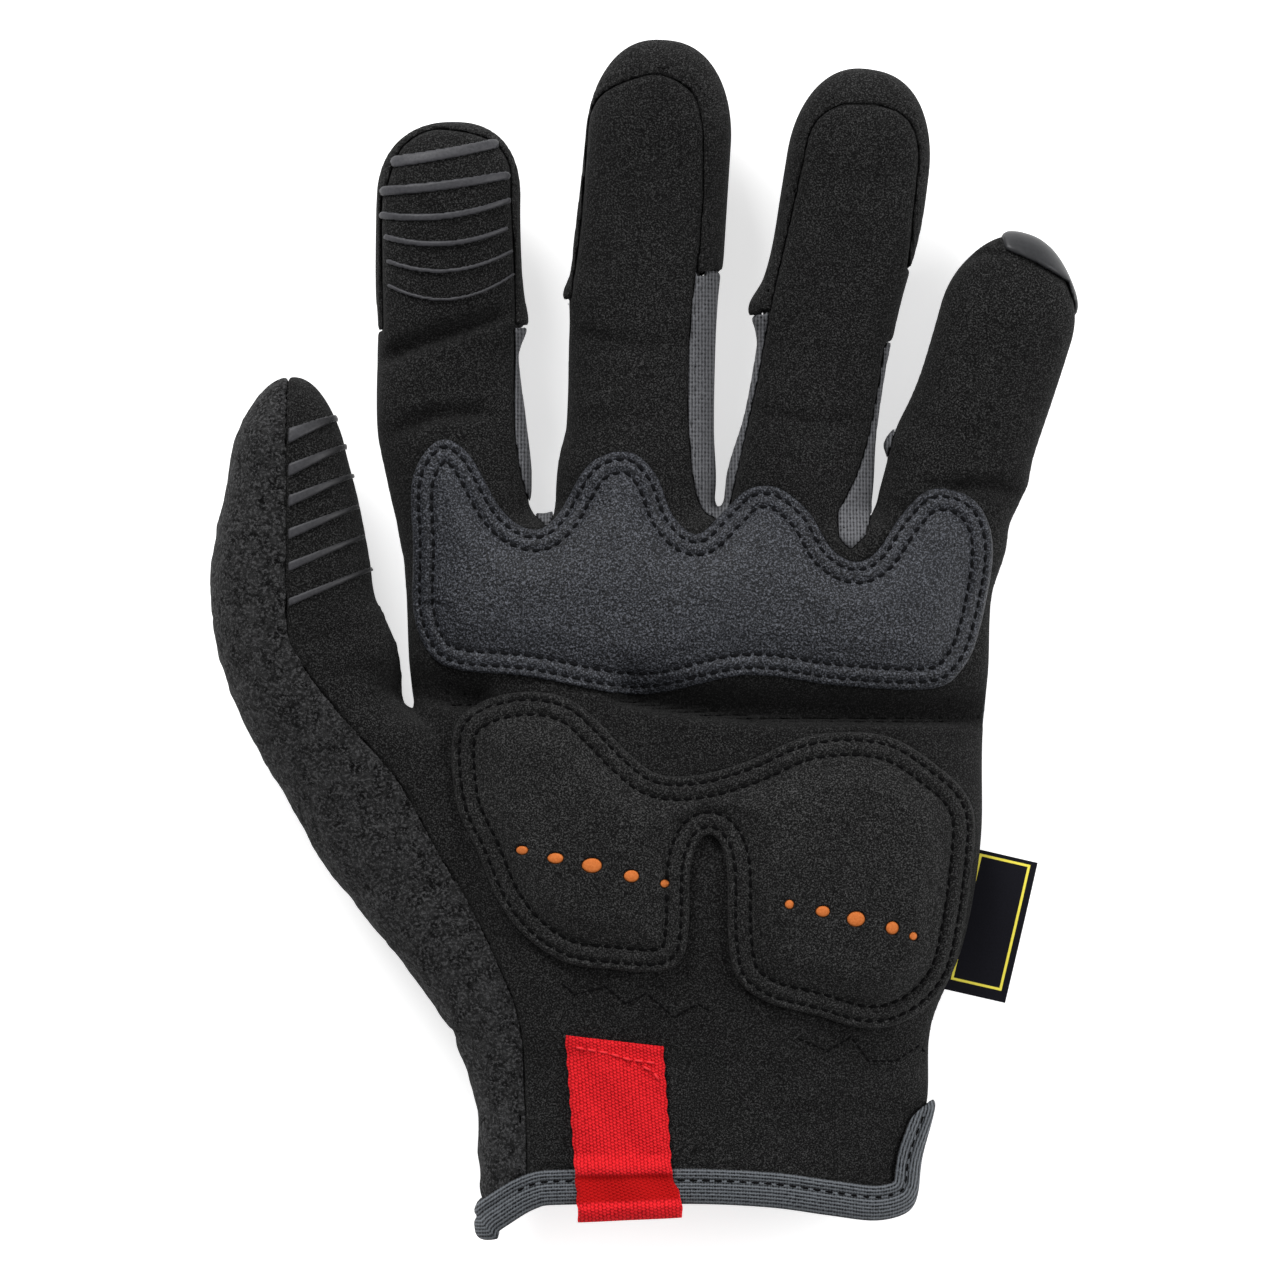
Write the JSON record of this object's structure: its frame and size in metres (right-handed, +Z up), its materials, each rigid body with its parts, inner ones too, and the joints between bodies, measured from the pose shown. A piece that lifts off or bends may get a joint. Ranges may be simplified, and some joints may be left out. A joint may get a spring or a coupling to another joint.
{
  "type": "mechanic glove",
  "caption": "Left-hand mechanic glove lying palm up, with padded knuckles and heel, rubber grip bars, knit side strips, bound cuff and red pull tab.",
  "frame": {"origin": "on the surface the glove lies on, under the middle of its overall box", "axes": "+Y towards the finger tips, +Z up out of the palm side, -X towards the thumb"},
  "size_m": [0.173, 0.24, 0.0363],
  "materials": {
    "suede": "matt black synthetic suede",
    "fleece": "brushed black fleece",
    "pebbled": "pebbled blue-black",
    "knit": "grey stretch knit",
    "binding": "ribbed grey knit tape",
    "webbing": "woven red webbing",
    "rubber": "semi-gloss moulded rubber",
    "foam": "orange closed-cell foam",
    "label": "woven near-black label"
  },
  "bodies": {
    "root": {"palm_panel": "suede", "back_panel": "knit", "thumb_panel": "fleece", "index_middle_strip": "knit", "middle_ring_strip": "knit", "ring_little_strip": "knit", "index_tip_cap": "suede", "middle_tip_cap": "suede", "ring_tip_cap": "suede", "little_tip_guard": "rubber", "knuckle_pad": "pebbled", "palm_pad": "suede", "palm_pad_foam": "foam", "cuff_binding": "binding", "pull_tab": "webbing", "side_label": "label", "index_grip_bar_1": "rubber", "index_grip_bar_2": "rubber", "index_grip_bar_3": "rubber", "index_grip_bar_4": "rubber", "index_grip_bar_5": "rubber", "index_grip_bar_6": "rubber", "thumb_grip_bar_1": "rubber", "thumb_grip_bar_2": "rubber", "thumb_grip_bar_3": "rubber", "thumb_grip_bar_4": "rubber", "thumb_grip_bar_5": "rubber", "thumb_grip_bar_6": "rubber"}
  },
  "joints": []
}
